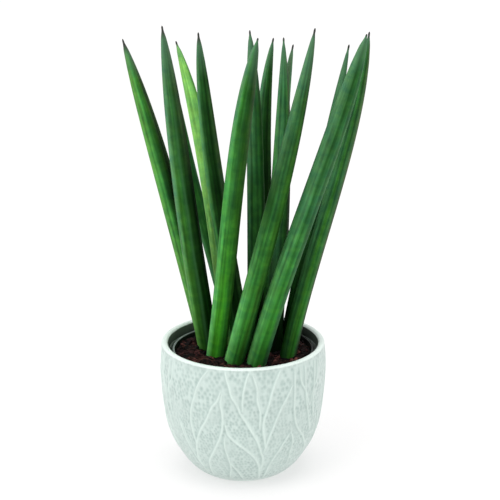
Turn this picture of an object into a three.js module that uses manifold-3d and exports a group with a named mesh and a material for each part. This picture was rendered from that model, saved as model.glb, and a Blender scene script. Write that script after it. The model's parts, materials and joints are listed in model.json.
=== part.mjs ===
// Snake plant with round, spear-shaped leaves, in a thin grower's pot set inside a glazed bowl-shaped pot.
// Millimetres, +Z up. The glazed pot's foot stands on z = 0 and its axis is the Z axis. The front faces -Y.

import * as THREE from 'three';
import { mergeVertices } from 'three/addons/utils/BufferGeometryUtils.js';
import Module from 'manifold-3d';

const wasm = await Module();
wasm.setup();

const GAP = 0.3; // between pieces that rest on or sit in each other

// Glazed outer pot: [height, radius] up the outside, from the flat foot to below the lip.
const POT_OUTSIDE = [
  [0, 37],
  [3, 42],
  [8, 47.6],
  [16, 53.6],
  [26, 59.2],
  [40, 64.6],
  [56, 67.7],
  [74, 69.6],
  [92, 70.4],
  [104, 70.1],
  [110.5, 69.6],
];
const POT_HEIGHT = 113.8;
const POT_LIP_RADIUS = 69.4;
const POT_LIP_ROUNDING = 2.6;
const POT_LIP_START = 0.2; // radians above level where the lip's round takes over from the wall
const POT_LIP_STEPS = 4;
const POT_TURN = POT_HEIGHT - POT_LIP_ROUNDING; // height where the wall turns into the lip
const POT_WALL = 6;
const POT_FLOOR = 9; // height of the flat floor inside
const POT_FLOOR_RADIUS = 41.5;
const POT_FLOOR_BEVEL = [3.5, 4.5]; // out and up, from the floor's edge to the wall
const POT_INSIDE_FROM = 26; // above this height the inside follows the outside
const POT_SIDES = 72;

// Thin grower's pot standing inside it.
const GROWER_BASE = POT_FLOOR + GAP;
const GROWER_BASE_RADIUS = 40;
const GROWER_TOP = 106.7;
const GROWER_BAND = 9; // height of the straight band below its lip
const GROWER_BAND_RADIUS = 59.2;
const GROWER_NECK_RADIUS = 57.6; // just under the band
const GROWER_LIP_RADIUS = 59.8;
const GROWER_LIP_HEIGHT = 2;
const GROWER_WALL = 1.2;
const GROWER_EDGE = 0.4; // bevel on the lip's edges
const GROWER_SIDES = 60;
const DRAIN_HOLES = 6;
const DRAIN_HOLE_RADIUS = 3.5;
const DRAIN_CIRCLE_RADIUS = 28;
const DRAIN_CUT = 8; // length of the holes' cutters, longer than the base is thick
const DRAIN_SIDES = 12;

// Bark potting mix filling the grower's pot.
const MIX_LEVEL = 103;
const MIX_EDGE = 1; // the outermost millimetre of the top stays level
const MIX_BASE_RADIUS = GROWER_BASE_RADIUS - GROWER_WALL - GAP;
const MIX_SHOULDER = GROWER_TOP - GROWER_BAND - MIX_EDGE; // height where its sides turn upright
const MIX_SHOULDER_RADIUS = GROWER_NECK_RADIUS - GROWER_WALL - 2 * GAP;
const MIX_TOP_RADIUS = MIX_SHOULDER_RADIUS + 0.4;
const MIX_LUMP_HEIGHT = 3;
const MIX_LUMP_PITCH = 14;
const MIX_LUMP_SLANT = 0.22;
const MIX_RINGS = 8;
const MIX_SIDES = GROWER_SIDES;

// Leaves. Each grows from a foot [x, y] buried in the mix and runs straight to its tip [x, y, z], except
// that `low` and `high` push it sideways [x, y] at a third and two thirds of its length. `thick` is its
// width at the foot, `thinning` the share of that lost evenly on the way up, and a larger `point` keeps it
// full for longer before it draws in to the tip.
const LEAF_FOOT = 78;
const LEAF_SIDES = 14;
const LEAF_RINGS = 15;
const LEAF_RING_CROWDING = 1.25;
const LEAF_DRAW_IN = 0.75;
const SOCKET_OVERRUN = 12; // how far the sockets' cutters stand above the mix
const LEAVES = [
  leaf([-25.3, 33.5], [-97.3, 10, 369], [2.4, -4], [5.7, -6], 17.5, 0, 4.8, 'bright'),
  leaf([-25.3, 14.5], [-63, -30, 386.6], [-5.2, 2.5], [-1.4, 2], 18.6, 0.06, 5, 'blue'),
  leaf([-5.3, 16], [-56.9, 72, 356], [1.7, 1], [13.7, 1], 15.7, 0.05, 5.8, 'bright'),
  leaf([4.7, 0], [-36.3, 23, 372], [-3, 0], [-7, 0], 16.5, 0.11, 6, 'deep'),
  leaf([11.7, 22], [5.7, 39, 371], [1, 2], [5, 2], 15.8, 0.08, 6, 'deep'),
  leaf([-26.3, -4], [12.3, -41, 379], [2.5, 3], [-9.2, 3], 16.3, 0, 8, 'bright'),
  leaf([12.7, 40], [25.9, 76, 358], [8.3, -3], [-14.3, -3], 16.1, 0, 4.7, 'deep'),
  leaf([22.2, 7], [33.9, 51, 362.8], [1.9, -3], [5.4, -3], 18.8, 0, 3.1, 'blue'),
  leaf([24.7, 31], [42.7, 78, 352], [7, -2], [-12, -2], 11, 0.07, 7, 'deep'),
  leaf([-13.3, -18], [55.3, -72, 392], [1.6, 1], [6.2, 1], 16.6, 0, 4.2, 'blue'),
  leaf([34.2, 20.5], [86.4, 15, 363.5], [-2.3, -3], [0, -3], 15, 0.4, 7.2, 'blue'),
  leaf([5.7, -18], [95.2, -65, 386.3], [-7.1, 0], [3.6, 0], 17, 0.05, 9.7, 'blue'),
  leaf([33.7, -6], [102.2, 9, 375], [-6.6, 4], [12.9, 4], 13.9, 0.04, 6.3, 'deep'),
  leaf([-2.3, 32], [-61.8, 93, 327], [1.1, 0], [-10.1, 0], 11.8, 0.08, 7.9, 'deep'),
];

function leaf(foot, tip, low, high, thick, thinning, point, green) {
  return { foot, tip, low, high, thick, thinning, point, green };
}

const COLOURS = { glaze: 0xc6dcd6, plastic: 0x3b4440, mix: 0x3a2320 };
const LEAF_GREENS = { bright: 0x6f9a4a, blue: 0x55876a, deep: 0x2f5a45 };

// Turns a closed [radius, height] outline about the Z axis and welds it into one closed skin.
function turned(outline, sides) {
  const points = outline.map(([radius, height]) => new THREE.Vector2(radius, height));
  const geometry = new THREE.LatheGeometry(points, sides);
  geometry.rotateX(Math.PI / 2);
  return welded(geometry);
}

// Joins vertices in the same place and drops the triangles that this closes up.
function welded(geometry) {
  const source = geometry.toNonIndexed();
  const bare = new THREE.BufferGeometry();
  bare.setAttribute('position', source.getAttribute('position'));
  const joined = mergeVertices(bare, 1e-4);
  const corners = joined.index.array;
  const kept = [];
  for (let i = 0; i < corners.length; i += 3) {
    const [a, b, c] = [corners[i], corners[i + 1], corners[i + 2]];
    if (a !== b && b !== c && c !== a) kept.push(a, b, c);
  }
  joined.setIndex(kept);
  return joined;
}

function toSolid(geometry) {
  const vertProperties = new Float32Array(geometry.getAttribute('position').array);
  const triVerts = new Uint32Array(geometry.index.array);
  return new wasm.Manifold(new wasm.Mesh({ numProp: 3, vertProperties, triVerts }));
}

function fromSolid(solid) {
  const mesh = solid.getMesh();
  const geometry = new THREE.BufferGeometry();
  geometry.setAttribute('position', new THREE.BufferAttribute(mesh.vertProperties, 3));
  geometry.setIndex(new THREE.BufferAttribute(mesh.triVerts, 1));
  return geometry;
}

function named(name, geometry, color, roughness) {
  geometry.computeVertexNormals();
  const mesh = new THREE.Mesh(geometry, new THREE.MeshStandardMaterial({ color, roughness }));
  mesh.name = name;
  return mesh;
}

// Part of the lip's round, between two angles, about a centre at the given radius.
function roundedLip(centreRadius, from, to) {
  const points = [];
  for (let i = 0; i <= POT_LIP_STEPS; i += 1) {
    const angle = from + ((to - from) * i) / POT_LIP_STEPS;
    const radius = centreRadius + POT_LIP_ROUNDING * Math.cos(angle);
    points.push([radius, POT_TURN + POT_LIP_ROUNDING * Math.sin(angle)]);
  }
  return points;
}

function outerPot() {
  const outside = POT_OUTSIDE.map(([height, radius]) => [radius, height]);
  const inside = POT_OUTSIDE.filter(([height]) => height >= POT_INSIDE_FROM && height < POT_TURN)
    .reverse()
    .map(([height, radius]) => [radius - POT_WALL, height]);
  const outerCentre = POT_LIP_RADIUS - POT_LIP_ROUNDING;
  const innerCentre = POT_LIP_RADIUS - POT_WALL + POT_LIP_ROUNDING;
  const outline = [
    [0, 0],
    ...outside,
    ...roundedLip(outerCentre, POT_LIP_START, Math.PI / 2),
    ...roundedLip(innerCentre, Math.PI / 2, Math.PI),
    ...inside,
    [POT_FLOOR_RADIUS + POT_FLOOR_BEVEL[0], POT_FLOOR + POT_FLOOR_BEVEL[1]],
    [POT_FLOOR_RADIUS, POT_FLOOR],
    [0, POT_FLOOR],
  ];
  return named('ceramic_pot', turned(outline, POT_SIDES), COLOURS.glaze, 0.35);
}

function drainHole(angle) {
  const hole = new THREE.CylinderGeometry(DRAIN_HOLE_RADIUS, DRAIN_HOLE_RADIUS, DRAIN_CUT, DRAIN_SIDES);
  hole.rotateX(Math.PI / 2);
  hole.translate(DRAIN_CIRCLE_RADIUS * Math.cos(angle), DRAIN_CIRCLE_RADIUS * Math.sin(angle), GROWER_BASE);
  return toSolid(welded(hole));
}

function growerPot() {
  const bandFoot = GROWER_TOP - GROWER_BAND;
  const lipFoot = GROWER_TOP - GROWER_LIP_HEIGHT;
  const bandInside = GROWER_BAND_RADIUS - GROWER_WALL;
  const outline = [
    [0, GROWER_BASE],
    [GROWER_BASE_RADIUS - GROWER_WALL, GROWER_BASE],
    [GROWER_BASE_RADIUS, GROWER_BASE + GROWER_WALL],
    [GROWER_NECK_RADIUS, bandFoot - GROWER_WALL],
    [GROWER_BAND_RADIUS, bandFoot],
    [GROWER_BAND_RADIUS, lipFoot],
    [GROWER_LIP_RADIUS, lipFoot + GROWER_EDGE],
    [GROWER_LIP_RADIUS, GROWER_TOP - GROWER_EDGE],
    [GROWER_LIP_RADIUS - GROWER_EDGE, GROWER_TOP],
    [bandInside + GROWER_EDGE, GROWER_TOP],
    [bandInside, GROWER_TOP - GROWER_EDGE],
    [bandInside, bandFoot + GROWER_EDGE],
    [GROWER_NECK_RADIUS - GROWER_WALL, bandFoot - GROWER_EDGE],
    [GROWER_BASE_RADIUS - GROWER_WALL, GROWER_BASE + GROWER_WALL],
    [0, GROWER_BASE + GROWER_WALL],
  ];
  let solid = toSolid(turned(outline, GROWER_SIDES));
  for (let i = 0; i < DRAIN_HOLES; i += 1) {
    solid = solid.subtract(drainHole((i * 2 * Math.PI) / DRAIN_HOLES));
  }
  return named('nursery_pot', fromSolid(solid), COLOURS.plastic, 0.6);
}

// The line down the middle of a leaf, from its buried foot to its tip.
function leafLine(leaf) {
  const foot = new THREE.Vector3(leaf.foot[0], leaf.foot[1], LEAF_FOOT);
  const tip = new THREE.Vector3(...leaf.tip);
  const lowHandle = foot.clone().lerp(tip, 1 / 3).add(new THREE.Vector3(...leaf.low, 0));
  const highHandle = foot.clone().lerp(tip, 2 / 3).add(new THREE.Vector3(...leaf.high, 0));
  return new THREE.CubicBezierCurve3(foot, lowHandle, highHandle, tip);
}

function leafRadius(leaf, share) {
  const drawnIn = Math.pow(1 - Math.pow(share, leaf.point), LEAF_DRAW_IN);
  return (leaf.thick / 2) * (1 - leaf.thinning * share) * drawnIn;
}

// Shares of a leaf's length at which its rings stand, closer together towards the tip.
function ringShares() {
  const shares = [];
  for (let i = 0; i < LEAF_RINGS; i += 1) shares.push(1 - Math.pow(1 - i / LEAF_RINGS, LEAF_RING_CROWDING));
  return shares;
}

// Lays a straight spear, turned about the Y axis with its heights as shares of the leaf's length,
// along the leaf's bent line.
function laidAlong(leaf, spear) {
  const line = leafLine(leaf);
  const place = spear.getAttribute('position');
  for (let i = 0; i < place.count; i += 1) {
    const share = place.getY(i);
    const along = line.getTangent(Math.max(share, 0));
    const right = new THREE.Vector3(1, 0, 0).addScaledVector(along, -along.x).normalize();
    const forward = new THREE.Vector3().crossVectors(right, along);
    const spot = line.getPoint(share);
    spot.addScaledVector(right, place.getX(i)).addScaledVector(forward, place.getZ(i));
    place.setXYZ(i, spot.x, spot.y, spot.z);
  }
  return welded(spear);
}

function leafSkin(leaf) {
  const rings = ringShares().map((share) => new THREE.Vector2(leafRadius(leaf, share), share));
  const outline = [new THREE.Vector2(0, 0), ...rings, new THREE.Vector2(0, 1)];
  return laidAlong(leaf, new THREE.LatheGeometry(outline, LEAF_SIDES));
}

// The room that a leaf's foot takes up in the mix: the leaf's own rings, a gap wider and a gap lower.
function socketSkin(leaf) {
  const top = (MIX_LEVEL + SOCKET_OVERRUN - LEAF_FOOT) / (leaf.tip[2] - LEAF_FOOT);
  const bottom = -GAP / (leaf.tip[2] - LEAF_FOOT);
  const shares = ringShares().filter((share) => share > 0 && share < top);
  const sides = [bottom, ...shares, top];
  const rings = sides.map((share) => new THREE.Vector2(leafRadius(leaf, Math.max(share, 0)) + GAP, share));
  const outline = [new THREE.Vector2(0, bottom), ...rings, new THREE.Vector2(0, top)];
  return laidAlong(leaf, new THREE.LatheGeometry(outline, LEAF_SIDES));
}

function leafMesh(leaf, index) {
  const number = String(index + 1).padStart(2, '0');
  return named(`leaf_${number}`, leafSkin(leaf), LEAF_GREENS[leaf.green], 0.5);
}

// Height of the mix's lumps above its level: two crossed waves, each turned a little off its axis.
function lumpHeight(x, y) {
  const wave = (2 * Math.PI) / MIX_LUMP_PITCH;
  const across = Math.sin(wave * (x + MIX_LUMP_SLANT * y));
  const along = Math.cos(wave * (y - MIX_LUMP_SLANT * x));
  return (MIX_LUMP_HEIGHT * (1 + across * along)) / 2;
}

// The fill, with an uneven top, and a socket for each leaf's foot.
function pottingMix() {
  const outline = [
    [0, GROWER_BASE + GROWER_WALL + GAP],
    [MIX_BASE_RADIUS, GROWER_BASE + GROWER_WALL + GAP],
    [MIX_SHOULDER_RADIUS, MIX_SHOULDER],
    [MIX_TOP_RADIUS, MIX_LEVEL],
  ];
  for (let i = MIX_RINGS - 1; i >= 0; i -= 1) {
    outline.push([(MIX_TOP_RADIUS * i) / MIX_RINGS, MIX_LEVEL]);
  }
  const skin = turned(outline, MIX_SIDES);
  const place = skin.getAttribute('position');
  for (let i = 0; i < place.count; i += 1) {
    const reach = Math.hypot(place.getX(i), place.getY(i));
    if (place.getZ(i) > MIX_LEVEL - MIX_EDGE && reach < MIX_TOP_RADIUS - MIX_EDGE) {
      place.setZ(i, MIX_LEVEL + lumpHeight(place.getX(i), place.getY(i)));
    }
  }
  let solid = toSolid(skin);
  for (const leaf of LEAVES) {
    solid = solid.subtract(toSolid(socketSkin(leaf)));
  }
  return named('potting_mix', fromSolid(solid), COLOURS.mix, 0.95);
}

const plant = new THREE.Group();
plant.name = 'potted_snake_plant';
plant.add(outerPot());
plant.add(growerPot());
plant.add(pottingMix());
LEAVES.forEach((leaf, index) => plant.add(leafMesh(leaf, index)));

export default plant;
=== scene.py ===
"""Potted snake plant with round spear leaves: its looks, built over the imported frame.

Metres, +Z up. The glazed pot's foot stands on z = 0, its axis is the Z axis and the front faces -Y.
Angles round the pot and round a leaf are in degrees, from 0 at the front, growing to the right.
"""
import json
import math
import random

import bmesh
import bpy
import numpy as np
from bpy.props import FloatProperty, FloatVectorProperty, IntProperty, PointerProperty
from bpy.types import Operator, Panel, PropertyGroup
from mathutils import Euler, Matrix, Vector, noise
from mathutils.kdtree import KDTree


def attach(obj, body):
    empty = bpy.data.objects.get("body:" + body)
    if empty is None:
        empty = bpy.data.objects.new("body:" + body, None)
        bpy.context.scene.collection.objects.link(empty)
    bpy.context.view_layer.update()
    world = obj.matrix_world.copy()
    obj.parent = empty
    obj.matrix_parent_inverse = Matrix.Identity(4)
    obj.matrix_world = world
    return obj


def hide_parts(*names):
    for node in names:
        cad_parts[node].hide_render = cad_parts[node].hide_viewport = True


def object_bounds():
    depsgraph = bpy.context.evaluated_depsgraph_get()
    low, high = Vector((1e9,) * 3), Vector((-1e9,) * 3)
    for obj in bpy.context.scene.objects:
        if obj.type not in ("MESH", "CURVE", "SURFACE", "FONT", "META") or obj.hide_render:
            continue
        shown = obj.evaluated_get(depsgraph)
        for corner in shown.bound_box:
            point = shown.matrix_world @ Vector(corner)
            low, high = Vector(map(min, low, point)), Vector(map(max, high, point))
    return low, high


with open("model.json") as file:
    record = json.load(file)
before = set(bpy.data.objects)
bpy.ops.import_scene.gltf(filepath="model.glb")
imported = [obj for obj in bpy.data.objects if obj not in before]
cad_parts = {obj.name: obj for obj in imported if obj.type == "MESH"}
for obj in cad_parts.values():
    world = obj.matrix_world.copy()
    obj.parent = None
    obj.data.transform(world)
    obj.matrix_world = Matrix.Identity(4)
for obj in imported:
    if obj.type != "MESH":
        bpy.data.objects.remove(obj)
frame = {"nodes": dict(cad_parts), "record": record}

bl_info = {
    "name": "Potted Snake Plant",
    "version": (1, 0, 0),
    "blender": (4, 5, 0),
    "location": "View3D > Sidebar > Snake Plant",
    "description": "Round spear leaves in bark mix, in a grower's pot inside a leaf-veined glazed pot",
    "category": "Add Mesh",
}

MM = 0.001
CAD_BOX = [list(corner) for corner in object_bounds()]
SLOTS = {part["node"]: part["material_slot"] for part in frame["record"]["subparts"]}

# Glazed pot, in millimetres: [height, radius] up the outside, as the solid has it.
POT_OUTSIDE = [(0, 37), (3, 42), (8, 47.6), (16, 53.6), (26, 59.2), (40, 64.6), (56, 67.7)]
POT_OUTSIDE += [(74, 69.6), (92, 70.4), (104, 70.1), (110.5, 69.6)]
POT_HEIGHT = 113.8
POT_LIP_RADIUS = 69.4
POT_LIP_ROUNDING = 2.6
POT_WALL = 6
POT_FLOOR = 9
POT_FLOOR_RADIUS = 41.5
POT_FLOOR_BEVEL = (3.5, 4.5)
POT_FOOT_RINGS = (0, 18, 34)
POT_INSIDE_RINGS = (104, 97, 90, 80, 68, 56, 46, 36, 26)
POT_TURN = POT_HEIGHT - POT_LIP_ROUNDING  # where the wall turns into the lip
POT_WALL_TOP = POT_OUTSIDE[-1][0]

# Raised veins on a third of the pot: width in mm, then [angle, height] down each vein.
VEINS = [
    (1.6, [(-72, 108), (-72, 92), (-70, 76), (-66, 60), (-62, 46)]),
    (1.5, [(-61, 109), (-62, 90), (-62, 70), (-59, 56)]),
    (1.5, [(-52, 60), (-48, 46), (-44, 34), (-40, 22), (-37, 12)]),
    (1.8, [(-24, 111), (-29, 102), (-32, 95), (-35, 84), (-38, 73), (-39, 64), (-38, 51), (-36, 40)]),
    (2.1, [(-15, 93), (-17, 86), (-22, 77), (-25, 68), (-31, 56), (-35, 45), (-38, 32), (-39, 25), (-36, 6)]),
    (2.1, [(-12, 111), (-9, 98), (-7, 89), (-4, 83), (-1, 74), (2, 68), (7, 57), (11, 48), (14, 37),
           (16, 31), (16, 16)]),
    (1.9, [(5, 112), (3, 106), (1, 96), (0, 86), (0, 76)]),
    (2.0, [(-14, 91), (-15, 82), (-14, 75), (-14, 64), (-16, 52), (-19, 44), (-23, 35), (-28, 25), (-31, 8)]),
    (2.2, [(-12, 63), (-10, 55), (-5, 48), (2, 41), (8, 34), (12, 27), (17, 6)]),
    (1.6, [(-13, 52), (-13, 43), (-11, 31), (-10, 20), (-13, 7)]),
    (1.7, [(-11, 28), (-7, 21), (-3, 14), (1, 5)]),
    (2.2, [(27, 111), (24, 104), (21, 95), (19, 86), (17, 77), (15, 69), (17, 40)]),
    (2.1, [(36, 95), (32, 86), (28, 78), (25, 70), (22, 60), (19, 50), (16, 36)]),
    (1.8, [(37, 53), (32, 44), (28, 35), (25, 28), (23, 20), (22, 6)]),
    (1.7, [(38, 108), (38, 93), (38, 80), (39, 66), (42, 56), (50, 44), (59, 30)]),
    (1.7, [(43, 108), (44, 95), (48, 87), (53, 72)]),
    (1.5, [(63, 108), (62, 93), (57, 84), (55, 74)]),
    (1.7, [(7, 108), (10, 95), (10, 86), (12, 76), (12, 60)]),
    (1.5, [(37, 52), (40, 43), (40, 34), (42, 20)]),
]
VEIN_TURNS = 3
VEIN_STEP = 0.5
VEIN_SPREAD = math.radians(1) * 65  # millimetres round the pot for each degree, where the veins are drawn
VEIN_TAPER = 12
DIMPLE_SEED = 5
DIMPLE_START = 4.0
DIMPLE_CHANGE = (66, 88)  # heights between which the dimples grow from the fine to the wide spacing
DIMPLE_STRETCH = (1, 1, 0.78)
# As shares of the spacing: how far a dimple strays along and across its row, its radius, and the rows' own
# spacing. Then the share of dimples that are kept where they meet a vein.
DIMPLE_STRAY = (0.28, 0.25)
DIMPLE_RADII = (0.36, 0.54)
DIMPLE_ROWS = 0.88
DIMPLES_ON_VEINS = 0.06
DIMPLE_CLEARANCE = (0.6, 0.8)  # from a vein's middle: millimetres, and times the dimple's radius
# Painted shade along one side of each vein: how far it is moved aside and how wide it is.
VEIN_SHADE_SHIFT = 1.7 * MM
VEIN_SHADE_WIDTH = 1.1 * MM
CARVING_DEPTH = 2.2
CARVING_SPAN = (1, POT_HEIGHT - 1.5)
# How far from a vein or a dimple it still counts, in half widths of the one and radii of the other.
VEIN_REACH = 4.0
DIMPLE_REACH = 3.0
LIP_FADE = 1.0
FOOT_FADE = 4

# Thin grower's pot: the band below its lip and its drain holes, in millimetres.
GROWER_BAND = 9
DRAIN_HOLES = 6
DRAIN_RADIUS = 3.5
DRAIN_CIRCLE = 28
DRAIN_CUT = 8

# Mix, in millimetres: [radius, height] up its side, and x, y, radius and depth of places that have sunk.
MIX_SIDE = [(0, 10.8), (20, 10.8), (38.5, 10.8), (45.5, 45), (52, 77), (55.9, 96.2), (57.2, 99)]
MIX_LUMP_SCALE = 70
MIX_GRIT_SCALE = 420
MIX_RINGS = 64
MIX_STEPS = 200
MIX_HOLLOWS = ((10, -34, 13, 2.4), (29, -17, 15, 4))
CHIP_SEED = 7  # for the noise that pushes the chips' corners, which follows the clock unless it is seeded
CHIP_SIZES = (2.6, 7.5)
CRUMB_SIZES = (1.2, 3.2)
FIBRE_LENGTHS = (7, 19)

# Leaves: each row gives the tones across a leaf, from its left edge to its right edge, at the heights in
# LOOK_SHARES. Besides the leaves' own greens the rows hold painted light and shade: paler left edges where
# the light falls, dark right sides and near-black stretches where leaves shade one another. The lines along
# each are [angle, depth] with depths as shares of the usual groove, negative for a ridge.
LOOK_ACROSS = (-0.85, -0.45, 0, 0.45, 0.85)
LOOK_SHARES = (0.88, 0.55, 0.2)
LEAF_LOOKS = {
    "leaf_01": ("celery celery meadow moss mauve", "celery meadow forest night night",
                "celery celery grass ink ink"),
    "leaf_02": ("frost sage forest olive mauve", "frost moss forest deep night",
                "celery moss deep ink ink"),
    "leaf_03": ("lime lime lime lime celery", "lime lime spring meadow fern",
                "lime lime spring meadow grass"),
    "leaf_04": ("frost fern forest deep olive", "spring deep ink ink mauve", "meadow fern ink ink deep"),
    "leaf_05": ("frost frost jade forest deep", "sage forest forest forest forest",
                "jade fern ink ink deep"),
    "leaf_06": ("frost grass forest deep mauve", "meadow meadow forest moss moss",
                "spring vivid vivid grass moss"),
    "leaf_07": ("frost sage forest deep olive", "fern forest ink ink olive",
                "ink ink night night night"),
    "leaf_08": ("frost jade jade fern mauve", "meadow sage jade forest deep",
                "ink night night night ink"),
    "leaf_09": ("frost mauve mauve mauve frost", "olive fern mauve olive olive",
                "deep deep ink night night"),
    "leaf_10": ("frost sage jade olive olive", "deep deep fern moss moss",
                "spring meadow grass moss forest"),
    "leaf_11": ("sage sage jade jade fern", "fern fern fern jade fern", "ink ink night night night"),
    "leaf_12": ("frost sage forest fern sage", "jade sage fern jade sage",
                "spring meadow grass grass sage"),
    "leaf_13": ("olive jade fern olive umber", "sage jade moss jade umber",
                "deep fern moss grass mauve"),
    "leaf_14": ("olive deep deep forest forest", "jade fern forest fern jade",
                "frost meadow fern forest forest"),
}
LEAF_LINES = {
    "leaf_01": ((-28, 0.8), (8, 0.7), (52, 1), (110, 1), (170, 1), (235, 1)),
    "leaf_02": ((-22, 0.6), (9, -0.5), (30, 1), (75, 0.8), (150, 1), (210, 1), (280, 1)),
    "leaf_03": ((-20, 0.5), (30, 0.5), (100, 1), (180, 1), (260, 1)),
    "leaf_04": ((-8, 1), (22, 1), (60, 0.7), (130, 1), (200, 1), (270, 1)),
    "leaf_05": ((-30, 1), (12, 0.8), (48, 0.6), (120, 1), (190, 1), (260, 1)),
    "leaf_06": ((-26, 0.9), (-12, 1.2), (34, 0.5), (95, 1), (160, 1), (230, 1)),
    "leaf_07": ((-20, 1), (30, 1), (90, 1), (180, 1), (260, 1)),
    "leaf_08": ((-30, 0.7), (16, 0.9), (70, 1), (150, 1), (240, 1)),
    "leaf_09": ((-10, 1), (40, 1), (120, 1), (220, 1)),
    "leaf_10": ((-4, 1.3), (26, 0.8), (62, 0.5), (130, 1), (200, 1), (270, 1)),
    "leaf_11": ((-20, 0.8), (24, 0.8), (90, 1), (180, 1), (260, 1)),
    "leaf_12": ((-30, 0.6), (4, 0.7), (40, 1), (100, 1), (170, 1), (250, 1)),
    "leaf_13": ((-24, 1), (20, 1.1), (46, -0.7), (110, 1), (190, 1), (270, 1)),
    "leaf_14": ((-15, 0.8), (35, 0.8), (110, 1), (190, 1), (270, 1)),
}
# How far each leaf's dried tip and the greyed crown below it reach down from the tip, in mm.
LEAF_TIPS = {
    "leaf_01": (9, 26), "leaf_02": (8, 44), "leaf_03": (4, 15), "leaf_04": (8, 30), "leaf_05": (4, 60),
    "leaf_06": (2, 40), "leaf_07": (4, 24), "leaf_08": (3, 40), "leaf_09": (5, 26), "leaf_10": (6, 50),
    "leaf_11": (4, 60), "leaf_12": (1.5, 30), "leaf_13": (5, 12), "leaf_14": (6, 20),
}
RING_CROWDING = 1.6  # crowds the rings of a leaf towards its tip
NECK = 0.14  # share of its width that a leaf loses where it draws in to the mix
NECK_START = 3 * MM
NECK_RISE = 9 * MM
NEEDLE_RISE = 1.5 * MM
LINE_FADE = 0.12  # share of a leaf's length below its tip over which its lines fade out
FULL_LINE_RADIUS = 5 * MM
CORE_RADIUS = 8 * MM  # of the straight rod in which the leaves' patterns are laid out

CAMERA_PLACE = (0.00594, -1.3358, 0.6125)
CAMERA_TILT = math.radians(72.58)
AIM = Vector((0, 0, 0.18))
# Name, place and width of each light.
LIGHTS = (
    ("key", (-0.9, -0.8, 1.1), 1.0),
    ("top", (0.0, -0.1, 1.5), 1.2),
    ("fill", (1.1, -0.7, 0.8), 1.2),
)
FLOOR_TONE = (0.452, 0.444, 0.445, 1)
GLOW_SPAN = (0.3, 2.2)  # metres from the pot over which the floor's glow grows


def linear(red, green, blue):
    """A screen colour, 0 to 255, as the linear values that shaders take."""
    shares = [value / 255 for value in (red, green, blue)]
    return tuple(s / 12.92 if s <= 0.04045 else ((s + 0.055) / 1.055) ** 2.4 for s in shares)


def colour(name, description, red, green, blue):
    """A colour property whose default is given as a screen colour."""
    default = linear(red, green, blue)
    return FloatVectorProperty(name=name, description=description, subtype="COLOR", size=3,
                               min=0, max=1, default=default)


def share(name, description, default, high=1.0):
    """A plain number property from 0 to high."""
    return FloatProperty(name=name, description=description, default=default, min=0, max=high,
                         subtype="FACTOR" if high == 1 else "NONE")


def length(name, description, millimetres):
    """A length property, in metres, whose default is given in millimetres."""
    return FloatProperty(name=name, description=description, default=millimetres * MM, min=0,
                         unit="LENGTH", subtype="DISTANCE", precision=5)


def whole(name, description, default, low, high):
    """A whole-number property."""
    return IntProperty(name=name, description=description, default=default, min=low, max=high)


def power(name, description, watts):
    """The power of a light."""
    return FloatProperty(name=name, description=description, default=watts, min=0, unit="POWER")


class LeafSettings(PropertyGroup):
    """Sizes and colours of the spear leaves."""

    sides: whole("Sides", "Faces round each leaf", 90, 24, 180)
    rings: whole("Rings", "Rings along each leaf", 84, 20, 160)
    groove: length("Groove depth", "Depth of the lines along a leaf", 0.36)
    groove_width: FloatProperty(name="Groove width", description="Half width of a line round the leaf",
                                default=math.radians(8), min=0.01, max=0.6, subtype="ANGLE")
    collar: length("Collar height", "Height at which the leaves draw in to the mix", 98)
    needle: length("Needle radius", "Radius of the tip's dry end", 0.8)
    roughness: share("Roughness", "Roughness of the waxy skin", 0.5)
    lime: colour("Lime", "Brightest young green", 127, 185, 96)
    spring: colour("Spring", "Fresh light green", 92, 158, 88)
    celery: colour("Celery", "Pale yellow-green", 88, 142, 68)
    # Partly painted highlight: this pale tone is the waxy bloom and also the sheen of light on the leaves'
    # lit left edges.
    frost: colour("Frost", "Pale waxy bloom on an edge", 84, 130, 92)
    meadow: colour("Meadow", "Light green", 68, 137, 64)
    vivid: colour("Vivid", "Strongest green", 66, 146, 36)
    grass: colour("Grass", "Strong mid green", 52, 120, 43)
    sage: colour("Sage", "Pale waxy green", 66, 112, 72)
    jade: colour("Jade", "Cool mid green", 52, 100, 61)
    fern: colour("Fern", "Plain mid green", 43, 91, 44)
    moss: colour("Moss", "Dark yellow-green", 46, 94, 30)
    forest: colour("Forest", "Dark green", 34, 77, 33)
    # Painted shade: the three darkest greens below stand in for the shade on the leaves' right sides and
    # where leaves shade one another, besides the leaves' own dark green.
    deep: colour("Deep", "Very dark green", 25, 59, 20)
    ink: colour("Ink", "Green close to black", 14, 44, 11)
    night: colour("Night", "Shaded green close to black", 6, 24, 6)
    olive: colour("Olive", "Brownish green", 44, 79, 38)
    mauve: colour("Mauve", "Purple-grey green", 64, 86, 56)
    umber: colour("Umber", "Browned edge", 78, 92, 62)
    crown: colour("Crown", "Grey-green towards the tip", 88, 122, 98)
    tip: colour("Tip", "Dried tip", 58, 60, 56)


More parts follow.
